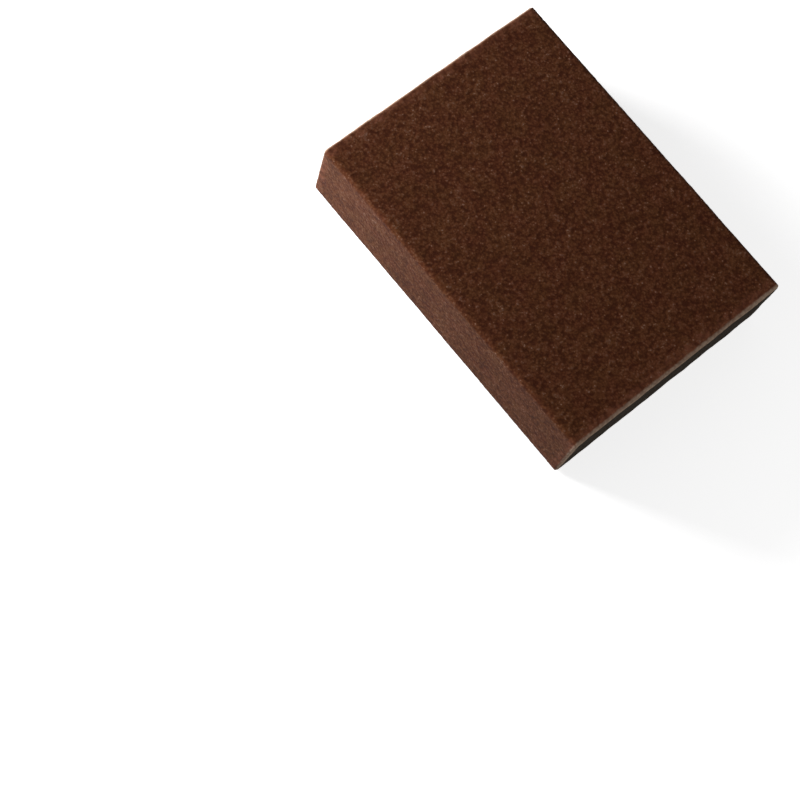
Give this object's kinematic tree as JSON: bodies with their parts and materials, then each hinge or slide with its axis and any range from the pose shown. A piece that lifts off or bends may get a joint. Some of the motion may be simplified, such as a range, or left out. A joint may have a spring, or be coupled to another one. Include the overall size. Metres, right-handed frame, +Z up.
{
  "type": "cleaning sponge",
  "caption": "Rectangular foam cleaning sponge wrapped in a brown abrasive grit coat, with bare foam at its cut ends.",
  "frame": {"origin": "centre of the bottom broad face, which rests on the table", "axes": "+X along the length towards one cut end, +Y across the width, +Z up through the thickness"},
  "size_m": [0.1, 0.073, 0.024],
  "materials": {
    "foam": "dark grey open-cell foam, matte, with fine pores on the cut ends",
    "grit_coat": "dark brown abrasive grit bonded with resin, matte and sandy, paler along the cut rim"
  },
  "bodies": {
    "root": {"foam_core": "foam", "abrasive_coat": "grit_coat"}
  },
  "joints": []
}
